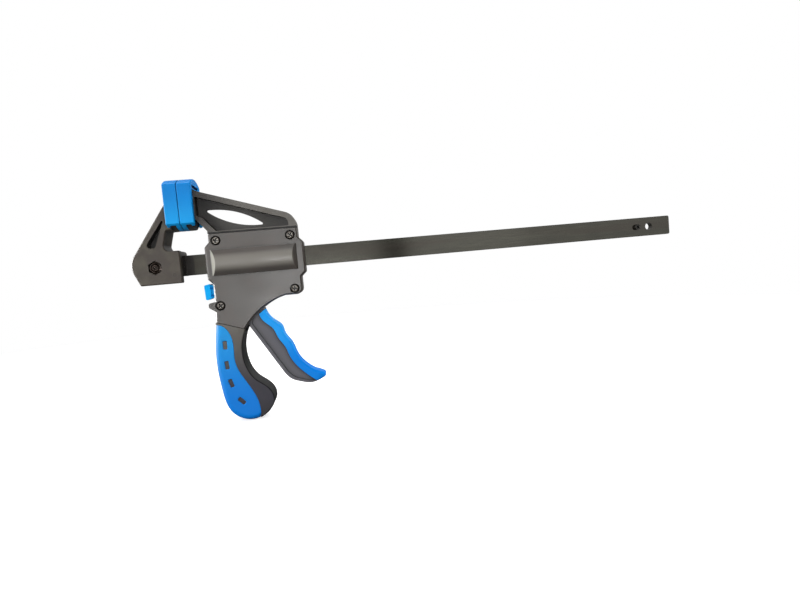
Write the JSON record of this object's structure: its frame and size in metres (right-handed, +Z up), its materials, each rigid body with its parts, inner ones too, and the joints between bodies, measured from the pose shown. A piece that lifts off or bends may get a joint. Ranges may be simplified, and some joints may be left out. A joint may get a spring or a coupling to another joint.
{
  "type": "quick release bar clamp",
  "caption": "One-handed bar clamp: a jaw fixed on a flat steel bar, a sliding jaw with pistol grip, squeeze trigger and release button, and soft blue pads.",
  "frame": {"origin": "on the bar's centre line, in the plane where the two jaw pads meet when the clamp is closed", "axes": "+X along the bar from the fixed jaw to its free end, +Z up towards the jaw tips with the pistol grip hanging down, +Y away from the user, so the front cover faces -Y"},
  "size_m": [0.4791, 0.034, 0.2082],
  "materials": {
    "bar_steel": "black-finished carbon steel bar, fine drawn grain, slight gloss",
    "pin_steel": "oiled spring steel",
    "body_plastic": "glass-filled nylon, fine spark texture, satin",
    "cover_plastic": "glass-filled nylon, fine spark texture, satin",
    "lever_plastic": "glass-filled nylon, satin",
    "soft_blue": "soft thermoplastic rubber, matt with a light sheen",
    "button_blue": "moulded acetal, semi-gloss",
    "fastener_black": "black zinc-plated screw, worn bright in the recess",
    "spring_steel": "bright spring wire",
    "plate_steel": "hardened steel plate, ground edges"
  },
  "bodies": {
    "bar_assembly": {"bar": "bar_steel", "stop_pin": "pin_steel", "fixed_jaw": "body_plastic", "fixed_jaw_pad": "soft_blue", "jaw_bolt": "fastener_black", "jaw_nut": "fastener_black"},
    "carriage": {"housing": "body_plastic", "cover": "cover_plastic", "cover_screws": "fastener_black", "moving_jaw_pad": "soft_blue", "handle_grip": "soft_blue", "trigger_pivot_pin": "pin_steel", "drive_spring": "spring_steel", "brake_spring": "spring_steel"},
    "trigger": {"trigger_lever": "lever_plastic", "trigger_grip": "soft_blue"},
    "drive": {"front_drive_plate": "plate_steel", "rear_drive_plate": "plate_steel"},
    "brake": {"brake_lever": "plate_steel"},
    "release": {"release_button": "button_blue"}
  },
  "joints": [
    {"name": "carriage_slide", "type": "slide", "parent": "bar_assembly", "child": "carriage", "axis": [1, 0, 0], "range_m": [0, 0.303]},
    {"name": "trigger_pivot", "type": "hinge", "parent": "carriage", "child": "trigger", "pos_m": [0.054, 0, -0.027], "axis": [0, 1, 0], "range_deg": [0, 13], "stiffness_Nm_per_rad": 2, "springref_deg": -6.88},
    {"name": "drive_slide", "type": "slide", "parent": "carriage", "child": "drive", "axis": [1, 0, 0], "range_m": [0, 0.0029], "deforming": ["drive_spring"]},
    {"name": "brake_pivot", "type": "hinge", "parent": "carriage", "child": "brake", "pos_m": [0.036, 0, 0.017], "axis": [0, -1, 0], "range_deg": [0, 5], "deforming": ["brake_spring"]},
    {"name": "release_slide", "type": "slide", "parent": "carriage", "child": "release", "axis": [1, 0, 0], "range_m": [0, 0.0035], "stiffness_N_per_m": 1500, "springref_m": -0.002}
  ],
  "couplings": [
    {"joint": "drive_slide", "follows": "trigger_pivot", "m_per_rad": 0.0125},
    {"joint": "brake_pivot", "follows": "release_slide", "rad_per_m": 24.4}
  ]
}
